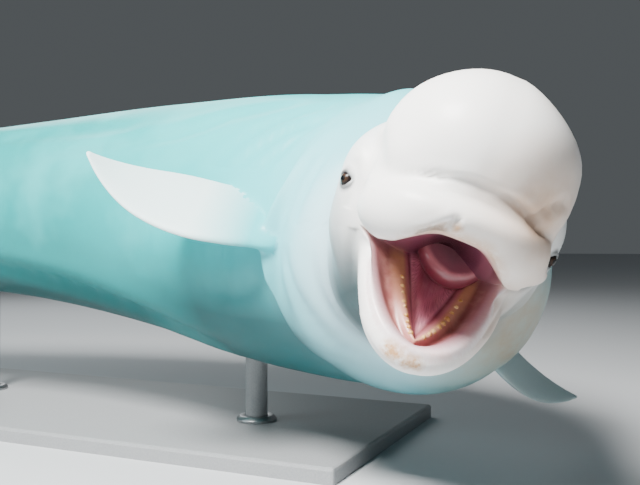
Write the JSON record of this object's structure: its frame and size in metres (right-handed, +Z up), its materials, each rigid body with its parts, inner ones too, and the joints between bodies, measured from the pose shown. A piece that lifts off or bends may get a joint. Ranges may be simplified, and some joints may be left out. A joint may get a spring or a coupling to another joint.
{
  "type": "beluga whale display model",
  "caption": "Life-size still beluga whale with domed forehead, wide open mouth, paddle flippers and flukes, on a flat base with short rods",
  "frame": {"origin": "centre of the bounding box in plan, at the underside of the stand base", "axes": "+X along the trunk towards the head, +Y to the left of the trunk, +Z up; the head is turned to the right, towards -Y"},
  "size_m": [3.5784, 1.3566, 0.9797],
  "materials": {
    "skin_white": "smooth white skin with a soft wet sheen",
    "skin_jaw": "white skin of the jaw, pinker towards the gums",
    "tongue_pink": "wet dusky pink",
    "eye_dark": "polished near-black",
    "stand_grey": "plain satin grey paint"
  },
  "bodies": {
    "root": {"tail_stock": "skin_white", "loin": "skin_white", "torso": "skin_white", "chest": "skin_white", "neck": "skin_white", "head": "skin_white", "lower_jaw": "skin_jaw", "eye_right": "eye_dark", "eye_left": "eye_dark", "tongue": "tongue_pink", "flipper_right": "skin_white", "flipper_left": "skin_white", "fluke_right": "skin_white", "fluke_left": "skin_white", "stand_rod_front": "stand_grey", "stand_rod_rear": "stand_grey", "stand_base": "stand_grey"}
  },
  "joints": []
}
